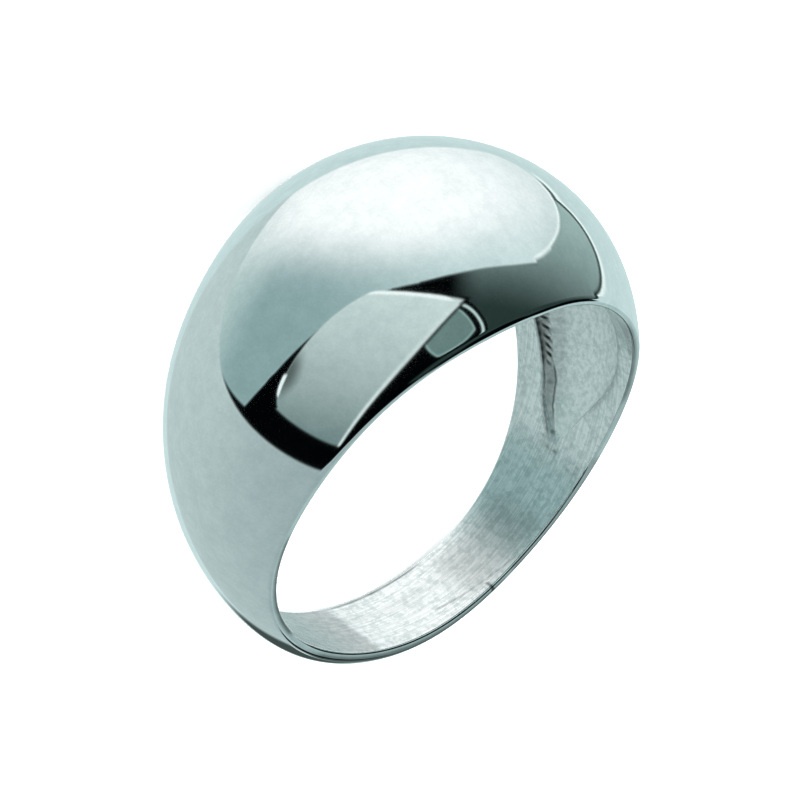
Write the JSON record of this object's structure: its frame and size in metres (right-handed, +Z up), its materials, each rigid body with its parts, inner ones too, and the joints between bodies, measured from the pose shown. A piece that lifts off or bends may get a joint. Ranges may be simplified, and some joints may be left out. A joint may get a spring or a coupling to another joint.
{
  "type": "dome finger ring",
  "caption": "Plain silver finger ring: a wide polished dome, hollow at the back, narrows through the shoulders into a slim shank. Shown lying on its side.",
  "frame": {"origin": "centre of the bounding box's bottom face, on the surface that the ring lies on", "axes": "+Z up from that surface; -Y from the finger hole towards the dome, +Y towards the shank; X from side to side, with the ring the same on both; the finger hole's axis leans 14.5 degrees from +Z towards +Y"},
  "size_m": [0.0202, 0.022, 0.0123],
  "materials": {
    "silver": "mirror polished outside, finely brushed inside the finger hole"
  },
  "bodies": {
    "root": {"ring": "silver"}
  },
  "joints": []
}
